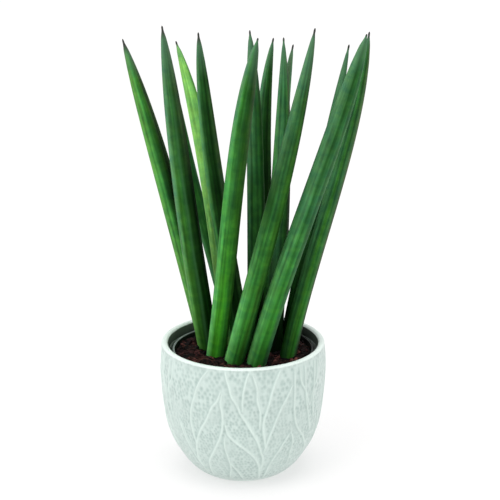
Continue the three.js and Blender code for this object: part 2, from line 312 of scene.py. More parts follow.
class GlazedPotSettings(PropertyGroup):
    """Sizes and colours of the glazed pot."""

    steps: whole("Steps", "Faces round the pot", 560, 96, 600)
    fineness: length("Fineness", "Distance between the rings of the outside", 0.86)
    relief: length("Relief", "Height of the veins above the ground", 0.7)
    dimple: length("Dimple depth", "Depth of the small dimples between the veins", 0.3)
    wide_pitch: length("Wide spacing", "Distance between the large dimples near the lip", 4.3)
    fine_pitch: length("Fine spacing", "Distance between the small dimples lower down", 3.0)
    plain_band: length("Plain band", "Smooth band below the lip", 1.2)
    roughness: share("Roughness", "Roughness of the satin glaze", 0.36)
    ground: colour("Ground", "Glaze between the veins", 197, 213, 207)
    # Its colour also paints the shade along one side of each vein.
    hollow: colour("Hollow", "Glaze pooled in the dimples", 163, 183, 177)
    ridge: colour("Ridge", "Thin glaze on the veins", 211, 227, 220)
    lip: colour("Lip", "Whiter glaze on the lip", 217, 230, 224)
    inside: colour("Inside", "Shaded grey-green inside of the wall", 84, 96, 87)
    bare: colour("Bare foot", "Unglazed foot", 196, 186, 170)


class GrowerPotSettings(PropertyGroup):
    """Sizes and colours of the thin grower's pot."""

    steps: whole("Steps", "Faces round the pot", 180, 48, 360)
    base: length("Base height", "Height of its base above the ground", 9.3)
    top: length("Top height", "Height of its lip above the ground", 106.7)
    wall: length("Wall", "Thickness of the wall", 1.2)
    roughness: share("Roughness", "Roughness of the moulded plastic", 0.42)
    plastic: colour("Plastic", "Moulded plastic", 25, 30, 26)
    # Painted highlight: the pale tone laid along the lip on the left side.
    lip_highlight_tone: colour("Scuffed", "Worn edges and dust", 128, 140, 136)


class BarkMixSettings(PropertyGroup):
    """Sizes and colours of the potting mix."""

    level: length("Level", "Mean height of the top", 101.6)
    lumps: length("Lumps", "Height of the lumps on top", 2.6)
    radius: length("Radius", "Radius of the top", 57.4)
    chips: whole("Chips", "Bark chips on top", 430, 0, 1500)
    crumbs: whole("Crumbs", "Small crumbs on top", 620, 0, 2000)
    fibres: whole("Fibres", "Coir fibres on top", 90, 0, 400)
    seed: whole("Seed", "Picks another scatter", 11, 0, 9999)
    peat: colour("Peat", "Damp dark mix", 9, 5, 5)
    bark: colour("Bark", "Red-brown bark", 62, 31, 30)
    chaff: colour("Chaff", "Palest flecks", 138, 88, 78)
    coir: colour("Coir", "Coir fibres", 88, 54, 42)


class StudioSettings(PropertyGroup):
    """Floor, lights and camera."""

    daylight: share("Surround", "Strength of the white surround", 1.0, 5)
    glow: share("Floor glow", "How much the floor shines by itself near the pot", 0.482)
    far_glow: share("Far glow", "How much the floor shines by itself two metres away", 0.58)
    key: power("Key", "Power of the large light on the left", 5.4)
    top: power("Top", "Power of the light overhead", 7.5)
    fill: power("Fill", "Power of the light on the right", 1)
    floor_size: length("Floor size", "Width of the floor", 40000)
    focal: FloatProperty(name="Focal length", description="Lens in millimetres", default=121.03, min=1)


# ---------------------------------------------------------------- helpers for meshes

def deselect():
    """Leaves edit mode and selects nothing."""
    if bpy.context.object and bpy.context.object.mode != "OBJECT":
        bpy.ops.object.mode_set(mode="OBJECT")
    bpy.ops.object.select_all(action="DESELECT")


def only(obj):
    """Selects this object alone and makes it the active one."""
    deselect()
    obj.select_set(True)
    bpy.context.view_layer.objects.active = obj


def edit(obj):
    """Opens this object alone in edit mode with nothing selected."""
    only(obj)
    bpy.ops.object.mode_set(mode="EDIT")
    bpy.ops.mesh.select_all(action="DESELECT")


def place_of(obj):
    """The vertices of a mesh as rows of x, y, z."""
    place = np.empty(len(obj.data.vertices) * 3)
    obj.data.vertices.foreach_get("co", place)
    return place.reshape(-1, 3)


def set_place(obj, place):
    """Moves the vertices of a mesh."""
    obj.data.vertices.foreach_set("co", np.ascontiguousarray(place).ravel())
    obj.data.update()


def store(obj, name, values):
    """Keeps one number, one vector or one colour for each vertex."""
    values = np.asarray(values, float)
    if values.ndim == 1:
        obj.data.attributes.new(name, "FLOAT", "POINT").data.foreach_set("value", values)
    elif values.shape[1] == 3:
        obj.data.attributes.new(name, "FLOAT_VECTOR", "POINT").data.foreach_set("vector", values.ravel())
    else:
        obj.data.attributes.new(name, "FLOAT_COLOR", "POINT").data.foreach_set("color", values.ravel())


def settle(obj):
    """Applies the object's place, turn and size to its mesh."""
    only(obj)
    bpy.ops.object.transform_apply(location=True, rotation=True, scale=True)


def weld(obj):
    """Merges doubles and points every face outwards."""
    edit(obj)
    bpy.ops.mesh.select_all(action="SELECT")
    bpy.ops.mesh.remove_doubles(threshold=0.01 * MM)
    bpy.ops.mesh.normals_make_consistent(inside=False)
    bpy.ops.object.mode_set(mode="OBJECT")


def turned(name, outline, steps):
    """Extrudes a line of [radius, height] in millimetres from one vertex and spins it round the Z axis."""
    deselect()
    bpy.ops.mesh.primitive_plane_add(size=MM, location=(0, 0, 0))
    obj = bpy.context.object
    obj.name = name
    bpy.ops.object.mode_set(mode="EDIT")
    bpy.ops.mesh.select_mode(type="VERT")
    bpy.ops.mesh.select_all(action="SELECT")
    bpy.ops.mesh.merge(type="CENTER")
    radius, height = outline[0]
    bpy.ops.transform.translate(value=(radius * MM, 0, height * MM))
    for (r0, z0), (r1, z1) in zip(outline, outline[1:]):
        step = ((r1 - r0) * MM, 0, (z1 - z0) * MM)
        bpy.ops.mesh.extrude_region_move(TRANSFORM_OT_translate={"value": step})
    bpy.ops.mesh.select_all(action="SELECT")
    bpy.ops.mesh.spin(steps=steps, angle=2 * math.pi, center=(0, 0, 0), axis=(0, 0, 1))
    bpy.ops.object.mode_set(mode="OBJECT")
    weld(obj)
    return obj


def smooth_through(points, parameter, wanted):
    """A smooth curve through rows of points at rising parameters, read at the wanted ones."""
    points = np.asarray(points, float)
    slopes = np.gradient(points, parameter, axis=0)
    index = np.clip(np.searchsorted(parameter, wanted, side="right") - 1, 0, len(parameter) - 2)
    span = (parameter[index + 1] - parameter[index])[:, None]
    u = ((wanted - parameter[index]) / span[:, 0])[:, None]
    a, b = points[index], points[index + 1]
    ta, tb = slopes[index] * span, slopes[index + 1] * span
    return ((2 * u**3 - 3 * u**2 + 1) * a + (u**3 - 2 * u**2 + u) * ta
            + (3 * u**2 - 2 * u**3) * b + (u**3 - u**2) * tb)


def evenly(points, step):
    """Points about a step apart on the smooth curve through the given ones."""
    points = np.asarray(points, float)
    chords = np.hypot(*np.diff(points, axis=0).T)
    parameter = np.concatenate([[0], np.cumsum(chords)])
    count = max(2, int(round(parameter[-1] / step)) + 1)
    return smooth_through(points, parameter, np.linspace(0, parameter[-1], count))


def cut_long_edges(obj, axis, cuts):
    """Subdivides the edges that run the whole way along an axis of an object one unit long."""
    edit(obj)
    bpy.ops.mesh.select_mode(type="EDGE")
    shape = bmesh.from_edit_mesh(obj.data)
    for edge in shape.edges:
        first, second = edge.verts
        edge.select_set(abs(first.co[axis] - second.co[axis]) > 0.5)
    bmesh.update_edit_mesh(obj.data)
    bpy.ops.mesh.subdivide(number_cuts=cuts)
    bpy.ops.object.mode_set(mode="OBJECT")


def joined(objects, name):
    """Joins objects into the first one."""
    deselect()
    for obj in objects:
        obj.select_set(True)
    bpy.context.view_layer.objects.active = objects[0]
    bpy.ops.object.join()
    objects[0].name = name
    objects[0].data.name = name
    return objects[0]


def finished(obj, slot, *nodes):
    """Hangs a finished piece on the root and hides the solids it stands for; its slot is not used."""
    only(obj)
    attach(obj, "root")
    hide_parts(*nodes)
    obj.select_set(False)


# ---------------------------------------------------------------- helpers for materials

class Finish:
    """A node material under construction."""

    def __init__(self, name):
        self.material = bpy.data.materials.new(name)
        self.material.use_nodes = True
        self.tree = self.material.node_tree
        self.shader = self.tree.nodes["Principled BSDF"]
        self.column = 0

    def node(self, kind, **settings):
        """Adds a node; the editor shows them in rows of eight."""
        made = self.tree.nodes.new("ShaderNode" + kind)
        made.location = (-1500 + 180 * (self.column % 8), -260 * (self.column // 8))
        self.column += 1
        for key, value in settings.items():
            setattr(made, key, value)
        return made

    def link(self, source, target):
        self.tree.links.new(source, target)

    def constant(self, **values):
        """Sets plain values on the shader; an underscore stands for a space."""
        for key, value in values.items():
            self.shader.inputs[key.replace("_", " ")].default_value = value

    def attribute(self, name):
        """Reads what was stored on the mesh under a name."""
        return self.node("Attribute", attribute_name=name)

    def value(self, name):
        """A stored number."""
        return self.attribute(name).outputs["Fac"]

    def position(self):
        """The place on the object, in metres."""
        return self.node("TexCoord").outputs["Object"]

    def noise(self, vector, scale, detail=3, roughness=0.55, distortion=0):
        """Cloudy noise from 0 to 1."""
        made = self.node("TexNoise")
        self.link(vector, made.inputs["Vector"])
        for key, value in (("Scale", scale), ("Detail", detail), ("Roughness", roughness),
                           ("Distortion", distortion)):
            made.inputs[key].default_value = value
        return made.outputs["Fac"]

    def stretched(self, vector, across, along, detail=3, roughness=0.55, distortion=0):
        """Noise with one scale across the Z axis and another along it."""
        mapping = self.node("Mapping")
        mapping.inputs["Scale"].default_value = (across, across, along)
        self.link(vector, mapping.inputs["Vector"])
        return self.noise(mapping.outputs["Vector"], 1, detail, roughness, distortion)

    def ranged(self, value, low, high, to_low, to_high):
        """Carries one range over to another and stops at its ends."""
        made = self.node("MapRange")
        self.link(value, made.inputs["Value"])
        for key, number in (("From Min", low), ("From Max", high), ("To Min", to_low), ("To Max", to_high)):
            made.inputs[key].default_value = number
        return made.outputs["Result"]

    def maths(self, operation, first, second):
        """Combines two values, each a plain number or a socket."""
        made = self.node("Math", operation=operation)
        for socket, value in zip(made.inputs, (first, second)):
            if isinstance(value, (int, float)):
                socket.default_value = value
            else:
                self.link(value, socket)
        return made.outputs["Value"]

    def mixed(self, factor, first, second, blend="MIX"):
        """Mixes two colours, each a plain one or a socket."""
        made = self.node("Mix", data_type="RGBA", blend_type=blend, clamp_factor=True)
        for socket, value in ((made.inputs[0], factor), (made.inputs[6], first), (made.inputs[7], second)):
            if isinstance(value, (int, float)):
                socket.default_value = value
            elif isinstance(value, bpy.types.NodeSocket):
                self.link(value, socket)
            else:
                socket.default_value = (*value, 1)
        return made.outputs[2]

    def varied(self, base, value, dark, light, low=0.3, high=0.7):
        """The base darkened and lightened where the value is low and high."""
        return self.mixed(1.0, base, self.ranged(value, low, high, dark, light), "MULTIPLY")

    def bumped(self, value, strength, distance, normal=None):
        """A normal that leans as the value rises and falls, over an earlier one if given."""
        made = self.node("Bump")
        made.inputs["Strength"].default_value = strength
        made.inputs["Distance"].default_value = distance
        self.link(value, made.inputs["Height"])
        if normal:
            self.link(normal, made.inputs["Normal"])
        return made.outputs["Normal"]

    def finish(self, base, roughness=None, normal=None):
        """Plugs the parts into the shader and hands out the material."""
        self.link(base, self.shader.inputs["Base Color"])
        if roughness:
            self.link(roughness, self.shader.inputs["Roughness"])
        if normal:
            self.link(normal, self.shader.inputs["Normal"])
        return self.material


# ---------------------------------------------------------------- glazed pot

def pot_radius(height):
    """Radius of the outside at heights in millimetres, on a smooth curve through the solid's rings."""
    heights, radii = np.array(POT_OUTSIDE, float).T
    return smooth_through(radii[:, None], heights, np.asarray(height, float))[:, 0]


def pot_outline(fineness):
    """The pot's outline as [radius, height]: foot, outside, lip, inside and floor."""
    heights = np.linspace(POT_OUTSIDE[0][0], POT_WALL_TOP, 400)
    outside = evenly(np.column_stack([pot_radius(heights), heights])[::4], fineness)
    outside[0] = (POT_OUTSIDE[0][1], 0)
    outline = [(radius, 0) for radius in POT_FOOT_RINGS] + [tuple(point) for point in outside]
    outer, inner = POT_LIP_RADIUS - POT_LIP_ROUNDING, POT_LIP_RADIUS - POT_WALL + POT_LIP_ROUNDING
    for centre, angles in ((outer, (12, 30, 50, 70, 90)), (inner, (90, 110, 130, 155, 180))):
        for angle in angles:
            along, up = math.cos(math.radians(angle)), math.sin(math.radians(angle))
            outline.append((centre + POT_LIP_ROUNDING * along, POT_TURN + POT_LIP_ROUNDING * up))
    for height in POT_INSIDE_RINGS:
        outline.append((float(pot_radius([height])[0]) - POT_WALL, height))
    out, up = POT_FLOOR_BEVEL
    outline.append((POT_FLOOR_RADIUS + out, POT_FLOOR + up))
    return outline + [(radius, POT_FLOOR) for radius in (POT_FLOOR_RADIUS, 20, 0)]


def on_pot(angles, heights):
    """Places in metres on the pot's outside, at angles in degrees and heights in millimetres."""
    angles = np.radians(angles)
    radii = pot_radius(heights)
    return np.column_stack([radii * np.sin(angles), -radii * np.cos(angles), heights]) * MM


def tree_of(places):
    """A search tree over places."""
    tree = KDTree(len(places))
    for index, spot in enumerate(places):
        tree.insert(spot, index)
    tree.balance()
    return tree


def vein_tree():
    """The raised veins all round the pot as a search tree, with the half width at each of its places."""
    places, widths = [], []
    for width, points in VEINS:
        run = evenly([(angle * VEIN_SPREAD, height) for angle, height in points], VEIN_STEP)
        from_end = np.minimum(np.arange(len(run)), np.arange(len(run))[::-1]) * VEIN_STEP
        for turn in range(VEIN_TURNS):
            places.extend(on_pot(run[:, 0] / VEIN_SPREAD + 360 * turn / VEIN_TURNS, run[:, 1]))
            widths.extend(width / 2 * np.clip(0.5 + from_end / VEIN_TAPER, 0, 1))
    return tree_of(places), np.array(widths)


def dimple_tree(settings, veins):
    """The dimples between the veins as a search tree, with their radii: uneven rows, finer lower down."""
    draw = random.Random(DIMPLE_SEED)
    places, radii = [], []
    height = DIMPLE_START
    fine_below, wide_above = DIMPLE_CHANGE
    along, across = DIMPLE_STRAY
    clear, wider = DIMPLE_CLEARANCE
    row = 0
    while height < POT_HEIGHT - settings.plain_band / MM:
        fine = min(1, max(0, (wide_above - height) / (wide_above - fine_below)))
        pitch = (settings.wide_pitch + (settings.fine_pitch - settings.wide_pitch) * fine) / MM
        count = int(2 * math.pi * float(pot_radius([height])[0]) / pitch)
        for index in range(count):
            angle = 360 * (index + 0.5 * (row % 2) + draw.uniform(-along, along)) / count
            spot = on_pot([angle], [height + draw.uniform(-across, across) * pitch])[0]
            size = draw.uniform(*DIMPLE_RADII) * pitch
            if veins.find(spot)[2] > (clear + wider * size) * MM and draw.random() > DIMPLES_ON_VEINS:
                places.append(spot * DIMPLE_STRETCH)
                radii.append(size)
        row += 1
        height += DIMPLE_ROWS * pitch
    return tree_of(places), np.array(radii)


def carve_relief(pot, settings):
    """Raises the veins, sinks the dimples between them, and keeps how near each vertex is to either and where
    the painted shade beside the veins falls.
    """
    place = place_of(pot)
    veins, widths = vein_tree()
    dimples, radii = dimple_tree(settings, veins)
    top = POT_HEIGHT - settings.plain_band / MM
    reach = np.hypot(place[:, 0], place[:, 1])
    heights = place[:, 2] / MM
    bottom, limit = CARVING_SPAN
    outside = (heights > bottom) & (heights < limit)
    outside &= reach / MM > pot_radius(np.clip(heights, 0, POT_WALL_TOP)) - CARVING_DEPTH
    to_vein = np.full(len(place), VEIN_REACH)
    to_dimple = np.full(len(place), DIMPLE_REACH)
    carved = np.zeros(len(place))
    lee = np.zeros(len(place))
    aside = np.column_stack([-place[:, 1], place[:, 0], 0 * heights]) / np.maximum(reach, MM)[:, None]
    aside *= VEIN_SHADE_SHIFT
    for index in np.nonzero(outside)[0]:
        spot = place[index]
        height = heights[index]
        fade = min(1, max(0, (top - height) / LIP_FADE)) * min(1, max(0, (height - bottom) / FOOT_FADE))
        _, vein, distance = veins.find(spot)
        to_vein[index] = min(VEIN_REACH, distance / MM / widths[vein])
        _, dimple, distance = dimples.find(spot * DIMPLE_STRETCH)
        to_dimple[index] = min(DIMPLE_REACH, distance / MM / radii[dimple])
        # Painted shade: nearness to a vein a little to one side.
        lee[index] = math.exp(-((veins.find(spot + aside[index])[2] / VEIN_SHADE_WIDTH) ** 2))
        ridge = math.exp(-(to_vein[index] ** 2))
        dent = max(0, 1 - to_dimple[index] ** 2) * (1 - ridge)
        sink = fade * (settings.relief * (1 - ridge) + settings.dimple * dent)
        place[index, :2] *= 1 - sink / reach[index]
        carved[index] = fade
    set_place(pot, place)
    for name, values in (("to_vein", to_vein), ("to_dimple", to_dimple), ("carved", carved), ("lee", lee)):
        store(pot, name, values)


def glaze(settings):
    """Satin glaze, paler where it thins over the veins and lip, greener where it pools in the dimples, with
    painted shade along one side of each vein.
    """
    finish = Finish("aqua_glaze")
    carved = finish.value("carved")
    ridge = finish.ranged(finish.value("to_vein"), 0.1, 1.6, 1, 0)
    dent = finish.ranged(finish.value("to_dimple"), 0.1, 1.15, 1, 0)
    lee = finish.maths("MULTIPLY", finish.value("lee"), carved)
    position = finish.position()
    cloud = finish.noise(position, 28, 3)
    patch = finish.noise(position, 60, 2)
    speck = finish.noise(position, 900, 2)
    comb = finish.stretched(position, 640, 70)
    strength = finish.maths("MULTIPLY", carved, finish.ranged(patch, 0.35, 0.6, 0.45, 1))
    dent = finish.maths("MULTIPLY", dent, strength)
    thin = finish.maths("MULTIPLY", ridge, carved)
    plain = finish.ranged(carved, 0, 1, 1, 0)
    pooled = finish.mixed(dent, settings.ground, settings.hollow)
    # Painted shade along one side of each vein, in the dimples' colour.
    pooled = finish.mixed(finish.maths("MULTIPLY", lee, 0.55), pooled, settings.hollow)
    base = finish.mixed(thin, pooled, settings.ridge)
    base = finish.mixed(plain, base, settings.lip)
    base = finish.varied(base, cloud, 0.965, 1.03)
    base = finish.varied(base, comb, 0.95, 1.035)
    base = finish.varied(base, speck, 0.985, 1.012, 0.25, 0.75)
    roughness = finish.ranged(speck, 0.2, 0.8, settings.roughness - 0.06, settings.roughness + 0.08)
    raised = finish.maths("ADD", finish.ranged(comb, 0.3, 0.7, 0, 0.4), finish.maths("MULTIPLY", thin, 1.2))
    normal = finish.bumped(finish.maths("SUBTRACT", raised, dent), 0.7, 0.4 * MM)
    finish.constant(Coat_Weight=0.2, Coat_Roughness=0.25)
    return finish.finish(base, roughness, normal)


def inner_wall(settings):
    """The wall's inside, dull, its dark grey-green a painted shade."""
    finish = Finish("inner_glaze")
    position = finish.position()
    grain = finish.noise(position, 300, 4)
    cloud = finish.noise(position, 40, 2)
    shade = finish.varied(settings.inside, cloud, 0.9, 1.1)
    base = finish.varied(shade, grain, 0.93, 1.06)
    roughness = finish.ranged(grain, 0.3, 0.7, 0.5, 0.65)
    return finish.finish(base, roughness, finish.bumped(grain, 0.15, 0.2 * MM))


def bare_foot(settings):
    """The unglazed foot."""
    finish = Finish("bare_clay")
    position = finish.position()
    grain = finish.noise(position, 1200, 5, 0.7)
    base = finish.varied(settings.bare, grain, 0.85, 1.08)
    roughness = finish.ranged(grain, 0.3, 0.7, 0.75, 0.9)
    return finish.finish(base, roughness, finish.bumped(grain, 0.3, 0.2 * MM))


def paint_pot(pot, settings):
    """Gives the outside and lip the glaze, the inside its dark grey-green painted shade and the foot bare
    clay.
    """
    for material in (glaze(settings), inner_wall(settings), bare_foot(settings)):
        pot.data.materials.append(material)
    for face in pot.data.polygons:
        x, y, z = face.center / MM
        reach = math.hypot(x, y)
        if z < 0.2:
            face.material_index = 2
        elif reach < POT_LIP_RADIUS - POT_WALL + 0.4 and z > POT_FLOOR - 1 and face.normal.z < 0.999:
            wall = float(pot_radius([min(z, POT_WALL_TOP)])[0])
            face.material_index = 1 if reach < wall - POT_WALL + 1.5 else 0
        elif abs(z - POT_FLOOR) < 0.1 and reach < POT_FLOOR_RADIUS:
            face.material_index = 1


class SNAKE_PLANT_OT_glazed_pot(Operator):
    """Throw the glazed pot and carve its veins and dimples."""

    bl_idname = "snake_plant.glazed_pot"
    bl_label = "Glazed pot"

    def execute(self, context):
        settings = context.scene.snake_plant_glazed_pot
        pot = turned("glazed_pot", pot_outline(settings.fineness / MM), settings.steps)
        carve_relief(pot, settings)
        paint_pot(pot, settings)
        bpy.ops.object.shade_smooth()
        finished(pot, SLOTS["ceramic_pot"], "ceramic_pot")
        return {"FINISHED"}


# ---------------------------------------------------------------- grower's pot

def grower_outline(base, top, wall):
    """The thin pot's outline as [radius, height] in millimetres, closed, with a rounded lip."""
    band = top - GROWER_BAND
    return [
        (0, base), (30, base), (38.4, base), (39.4, base + 0.3), (40, base + 1.2),
        (47, base + 35), (53.5, base + 67), (57.4, band - 2.2), (57.9, band - 1.2), (58.9, band - 0.3),
        (59.2, band + 0.4), (59.2, top - 2.3), (59.5, top - 2), (59.8, top - 1.6), (59.8, top - 0.5),
        (59.65, top - 0.15), (59.3, top), (58.4, top), (58.1, top - 0.12), (58, top - 0.4),
        (58, band + 0.6), (57.6, band), (56.8, band - 0.8), (56.3, band - 1.8),
        (53.5 - wall, base + 67), (47 - wall, base + 35), (40 - wall, base + wall + 0.8),
        (39.4 - wall, base + wall), (30, base + wall), (0, base + wall),
    ]


def grower_plastic(settings):
    """Thin moulded plastic, with a painted highlight along its lip on the left side, broken up by noise."""
    finish = Finish("grower_plastic")
    position = finish.position()
    drawn = finish.stretched(position, 500, 30)
    dust = finish.noise(position, 160, 4)
    height = finish.node("SeparateXYZ")
    finish.link(position, height.inputs["Vector"])
    edge = finish.ranged(height.outputs["Z"], settings.top - 0.9 * MM, settings.top - 0.1 * MM, 0, 1)
    # Painted highlight along the lip, on the left side only, broken up by the dust noise.
    side = finish.ranged(height.outputs["X"], -30 * MM, 20 * MM, 1, 0.04)
    lip_highlight = finish.maths("MULTIPLY", edge, side)
    lip_highlight = finish.maths("MULTIPLY", lip_highlight, finish.ranged(dust, 0.3, 0.6, 0.5, 1))
    base = finish.mixed(lip_highlight, settings.plastic, settings.lip_highlight_tone)
    base = finish.varied(base, drawn, 0.88, 1.1)
    roughness = finish.ranged(dust, 0.3, 0.7, settings.roughness - 0.08, settings.roughness + 0.12)
    finish.constant(Specular_IOR_Level=0.1)
    return finish.finish(base, roughness, finish.bumped(drawn, 0.1, 0.1 * MM))


class SNAKE_PLANT_OT_grower_pot(Operator):
    """Mould the thin grower's pot and cut its drain holes."""

    bl_idname = "snake_plant.grower_pot"
    bl_label = "Grower's pot"

    def execute(self, context):
        settings = context.scene.snake_plant_grower_pot
        base, top, wall = settings.base / MM, settings.top / MM, settings.wall / MM
        pot = turned("grower_pot", grower_outline(base, top, wall), settings.steps)
        cutters = []
        for index in range(DRAIN_HOLES):
            angle = 2 * math.pi * index / DRAIN_HOLES
            reach = DRAIN_CIRCLE * MM
            spot = (reach * math.cos(angle), reach * math.sin(angle), settings.base)
            bpy.ops.mesh.primitive_cylinder_add(vertices=32, radius=DRAIN_RADIUS * MM, depth=DRAIN_CUT * MM,
                                                location=spot)
            cutters.append(bpy.context.object)
        cutter = joined(cutters, "drain_cutter")
        settle(cutter)
        only(pot)
        cut = pot.modifiers.new("drain_holes", "BOOLEAN")
        cut.operation = "DIFFERENCE"
        cut.solver = "EXACT"
        cut.object = cutter
        bpy.ops.object.modifier_apply(modifier=cut.name)
        bpy.data.objects.remove(cutter)
        pot.data.materials.append(grower_plastic(settings))
        bpy.ops.object.shade_smooth_by_angle(angle=math.radians(35))
        finished(pot, SLOTS["nursery_pot"], "nursery_pot")
        return {"FINISHED"}


# ---------------------------------------------------------------- bark mix

def mix_height(x, y, settings):
    """Height of the mix's uneven top."""
    spot = Vector((x, y, 0.3))
    lumps = noise.fractal(spot * MIX_LUMP_SCALE, 0.8, 2.1, 4) * 0.5
    fine = noise.noise(spot * MIX_GRIT_SCALE) * 0.22
    sunk = 0
    for middle_x, middle_y, radius, depth in MIX_HOLLOWS:
        apart = math.hypot(x / MM - middle_x, y / MM - middle_y) / radius
        sunk += depth * MM * math.exp(-(apart**2))
    return settings.level - sunk + settings.lumps * min(1, max(0, 0.45 + lumps + fine))


def mix_outline(settings):
    """The fill's outline as [radius, height] in millimetres."""
    level, radius = settings.level / MM, settings.radius / MM
    return MIX_SIDE + [(radius * (MIX_RINGS - i) / MIX_RINGS, level) for i in range(MIX_RINGS + 1)]


def bark_finish(settings, name="bark_mix"):
    """Damp bark and peat: dark maroon ground with red-brown and a few pale flecks."""
    finish = Finish(name)
    position = finish.position()
    tone = finish.value("tone")
    grain = finish.noise(position, 700, 5, 0.65)
    patch = finish.noise(position, 150, 3)
    mixed = finish.maths("ADD", finish.maths("MULTIPLY", tone, 0.62), finish.maths("MULTIPLY", grain, 0.45))
    brown = finish.mixed(finish.ranged(mixed, 0.42, 0.85, 0, 1), settings.peat, settings.bark)
    pale = finish.mixed(finish.ranged(mixed, 0.78, 0.95, 0, 0.8), brown, settings.chaff)
    base = finish.varied(pale, patch, 0.25, 1.5, 0.38, 0.62)
    finish.constant(Specular_IOR_Level=0.12)
    roughness = finish.ranged(grain, 0.2, 0.8, 0.6, 0.95)
    return finish.finish(base, roughness, finish.bumped(grain, 0.6, 0.5 * MM))


def chip_shapes(draw):
    """Five bark chips: bevelled slabs with their corners pushed about, 1 across."""
    noise.seed_set(CHIP_SEED)
    shapes = []
    for index in range(5):
        deselect()
        bpy.ops.mesh.primitive_cube_add(size=1)
        chip = bpy.context.object
        chip.name = f"chip_{index}"
        chip.scale = (1, draw.uniform(0.45, 0.8), draw.uniform(0.25, 0.45))
        settle(chip)
        bpy.ops.object.mode_set(mode="EDIT")
        bpy.ops.mesh.select_all(action="SELECT")
        bpy.ops.mesh.bevel(offset=0.07, segments=1)
        bpy.ops.object.mode_set(mode="OBJECT")
        place = place_of(chip)
        for spot in place:
            push = noise.noise_vector(Vector(spot) * 1.7 + Vector((index * 3.1, 0, 0)))
            spot += np.array(push) * (0.3, 0.25, 0.16)
        set_place(chip, place)
        shapes.append(chip)
    return shapes


def crumb_shapes(_draw):
    """Three crumbs: lumps of twenty faces, 1 across, always the same."""
    shapes = []
    for index in range(3):
        deselect()
        bpy.ops.mesh.primitive_ico_sphere_add(subdivisions=1, radius=0.5)
        crumb = bpy.context.object
        crumb.name = f"crumb_{index}"
        place = place_of(crumb)
        for spot in place:
            spot *= 1 + 0.5 * noise.noise(Vector(spot) * 2.3 + Vector((0, index * 5.3, 0)))
        set_place(crumb, place)
        shapes.append(crumb)
    return shapes


def fibre_shapes(draw):
    """Four coir fibres: thin bent strands, 1 long."""
    shapes = []
    for index in range(4):
        deselect()
        bpy.ops.mesh.primitive_cylinder_add(vertices=4, radius=0.012, depth=1, rotation=(0, math.pi / 2, 0))
        fibre = bpy.context.object
        fibre.name = f"fibre_{index}"
        settle(fibre)
        cut_long_edges(fibre, 0, 8)
        place = place_of(fibre)
        bend, sway = draw.uniform(0.1, 0.35), draw.uniform(-0.12, 0.12)
        along = place[:, 0]
        taper = 1 - 1.2 * np.abs(along) ** 2
        place[:, 1] = place[:, 1] * taper + bend * (along**2 - 0.08) + sway * np.sin(along * 7)
        place[:, 2] = place[:, 2] * taper + 0.06 * np.cos(along * (4 + index))
        set_place(fibre, place)
        shapes.append(fibre)
    return shapes


def scattered(shapes, spots, sizes, tilt, lift, settings, draw, name):
    """Copies of the shapes at spots on the mix, each turned and sized by a draw, joined into one object."""
    copies = []
    for spot, size in zip(spots, sizes):
        shape = draw.choice(shapes)
        copy = bpy.data.objects.new(name, shape.data.copy())
        bpy.context.collection.objects.link(copy)
        turn = Euler((draw.uniform(-tilt, tilt), draw.uniform(-tilt, tilt), draw.uniform(0, 2 * math.pi)))
        height = mix_height(spot[0], spot[1], settings) + lift * size
        transform = Matrix.LocRotScale(Vector((spot[0], spot[1], height)), turn, Vector((size,) * 3))
        copy.data.transform(transform)
        store(copy, "tone", np.full(len(copy.data.vertices), draw.random()))
        copies.append(copy)
    for shape in shapes:
        bpy.data.objects.remove(shape)
    return joined(copies, name)


def clear_spots(count, margin, settings, draw, stems):
    """Random spots on the mix, clear of the leaves and of the pot's wall."""
    spots = []
    while len(spots) < count:
        reach = (settings.radius - margin) * math.sqrt(draw.random())
        angle = draw.uniform(0, 2 * math.pi)
        x, y = reach * math.cos(angle), reach * math.sin(angle)
        if all(math.hypot(x - sx, y - sy) > stem + 0.7 * margin for sx, sy, stem in stems):
            spots.append((x, y))
    return spots


class SNAKE_PLANT_OT_bark_mix(Operator):
    """Fill the pot with mix and scatter chips, crumbs and fibres on it."""

    bl_idname = "snake_plant.bark_mix"
    bl_label = "Bark mix"

    def execute(self, context):
        settings = context.scene.snake_plant_bark_mix
        draw = random.Random(settings.seed)
        bed = turned("mix_bed", mix_outline(settings), MIX_STEPS)
        place = place_of(bed)
        for spot in place:
            reach = math.hypot(spot[0], spot[1])
            if spot[2] > settings.level - 0.1 * MM and reach < settings.radius - 0.5 * MM:
                spot[2] = mix_height(spot[0], spot[1], settings)
        set_place(bed, place)
        store(bed, "tone", [0.25 + 0.5 * noise.noise(Vector(spot) * 260) for spot in place])
        bed.data.materials.append(bark_finish(settings))
        only(bed)
        bpy.ops.object.shade_smooth()
        finished(bed, SLOTS["potting_mix"], "potting_mix")

        stems = [leaf_stem(node, settings.level + 2 * MM) for node in sorted(LEAF_LOOKS)]
        for name, shapes, number, (small, large), margin, tilt, lift in (
            ("bark_chips", chip_shapes, settings.chips, CHIP_SIZES, 4, 0.5, 0.1),
            ("bark_crumbs", crumb_shapes, settings.crumbs, CRUMB_SIZES, 1.5, 1.5, 0.25),
            ("coir_fibres", fibre_shapes, settings.fibres, FIBRE_LENGTHS, 6, 0.16, 0.1),
        ):
            sizes = [draw.uniform(small, large) * MM for _ in range(number)]
            spots = clear_spots(number, margin * MM, settings, draw, stems)
            piece = scattered(shapes(draw), spots, sizes, tilt, lift, settings, draw, name)
            if name == "coir_fibres":
                piece.data.materials.append(coir_finish(settings))
            else:
                piece.data.materials.append(bark_finish(settings, name + "_finish"))
                only(piece)
                bpy.ops.object.shade_smooth_by_angle(angle=math.radians(30))
            finished(piece, SLOTS["potting_mix"], "potting_mix")
        return {"FINISHED"}


